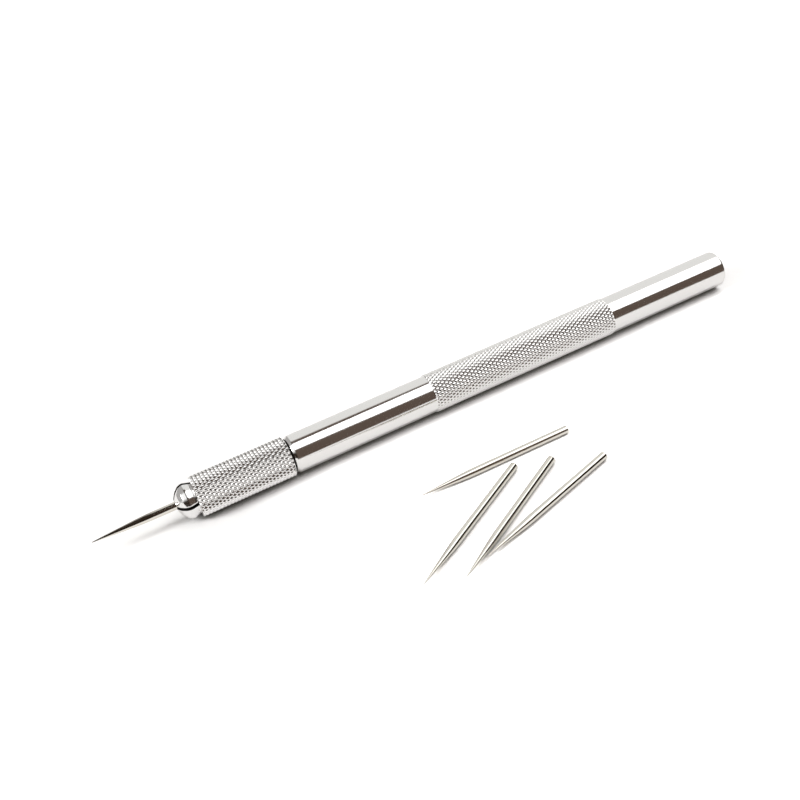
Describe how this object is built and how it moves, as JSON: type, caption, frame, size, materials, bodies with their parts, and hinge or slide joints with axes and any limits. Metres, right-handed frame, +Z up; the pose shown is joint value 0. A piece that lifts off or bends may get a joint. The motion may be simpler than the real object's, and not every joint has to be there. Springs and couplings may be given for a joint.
{
  "type": "air release tool",
  "caption": "Pen-shaped air release tool: knurled round aluminium handle, screw-closed split chuck under a knurled collar, one fitted steel needle and loose spare needles beside it.",
  "frame": {"origin": "centre of the flat end face at the handle's tail", "axes": "+X along the handle from the needle towards the tail, +Z up with the tool lying on its collar, +Y across it, away from the spare needles"},
  "size_m": [0.1454, 0.0476, 0.0084],
  "materials": {
    "handle_metal": "finely turned and polished bar, with a diamond knurled grip band",
    "collar_metal": "diamond knurled from end to end",
    "collet_metal": "bright turned",
    "needle_steel": "polished shank, finely ground taper"
  },
  "bodies": {
    "handle": {"handle": "handle_metal"},
    "collar": {"collar": "collar_metal"},
    "collet": {"collet_stem": "collet_metal"},
    "jaw_1": {"collet_jaw_1": "collet_metal"},
    "jaw_2": {"collet_jaw_2": "collet_metal"},
    "jaw_3": {"collet_jaw_3": "collet_metal"},
    "jaw_4": {"collet_jaw_4": "collet_metal"},
    "fitted_needle": {"fitted_needle": "needle_steel"},
    "spare_needle_1": {"spare_needle_1": "needle_steel"},
    "spare_needle_2": {"spare_needle_2": "needle_steel"},
    "spare_needle_3": {"spare_needle_3": "needle_steel"},
    "spare_needle_4": {"spare_needle_4": "needle_steel"}
  },
  "joints": [
    {"name": "collar_spin", "type": "hinge", "parent": "handle", "child": "collar", "pos_m": [-0.115, 0, 0], "axis": [-1, 0, 0], "range_deg": [0, 540]},
    {"name": "chuck_draw", "type": "slide", "parent": "collar", "child": "collet", "axis": [-1, 0, 0], "range_m": [0, 0.0012]},
    {"name": "jaw_1_spread", "type": "hinge", "parent": "collet", "child": "jaw_1", "pos_m": [-0.11435, -0.00078, 0.00148], "axis": [0, 0.8862, 0.4633], "range_deg": [0, 0.6]},
    {"name": "jaw_2_spread", "type": "hinge", "parent": "collet", "child": "jaw_2", "pos_m": [-0.11435, -0.00148, -0.00078], "axis": [0, -0.4633, 0.8862], "range_deg": [0, 0.6]},
    {"name": "jaw_3_spread", "type": "hinge", "parent": "collet", "child": "jaw_3", "pos_m": [-0.11435, 0.00078, -0.00148], "axis": [0, -0.8862, -0.4633], "range_deg": [0, 0.6]},
    {"name": "jaw_4_spread", "type": "hinge", "parent": "collet", "child": "jaw_4", "pos_m": [-0.11435, 0.00148, 0.00078], "axis": [0, 0.4633, -0.8862], "range_deg": [0, 0.6]},
    {"name": "needle_pull", "type": "slide", "parent": "collet", "child": "fitted_needle", "axis": [-1, 0, 0], "range_m": [0, 0.02]},
    {"name": "spare_1_lift", "type": "slide", "parent": "handle", "child": "spare_needle_1", "axis": [0, 0, 1], "range_m": [0, 0.03]},
    {"name": "spare_2_lift", "type": "slide", "parent": "handle", "child": "spare_needle_2", "axis": [0, 0, 1], "range_m": [0, 0.03]},
    {"name": "spare_3_lift", "type": "slide", "parent": "handle", "child": "spare_needle_3", "axis": [0, 0, 1], "range_m": [0, 0.03]},
    {"name": "spare_4_lift", "type": "slide", "parent": "handle", "child": "spare_needle_4", "axis": [0, 0, 1], "range_m": [0, 0.03]}
  ],
  "couplings": [
    {"joint": "collar_spin", "follows": "chuck_draw", "rad_per_m": 7853.9},
    {"joint": "jaw_1_spread", "follows": "chuck_draw", "rad_per_m": 8.72},
    {"joint": "jaw_2_spread", "follows": "chuck_draw", "rad_per_m": 8.72},
    {"joint": "jaw_3_spread", "follows": "chuck_draw", "rad_per_m": 8.72},
    {"joint": "jaw_4_spread", "follows": "chuck_draw", "rad_per_m": 8.72}
  ]
}
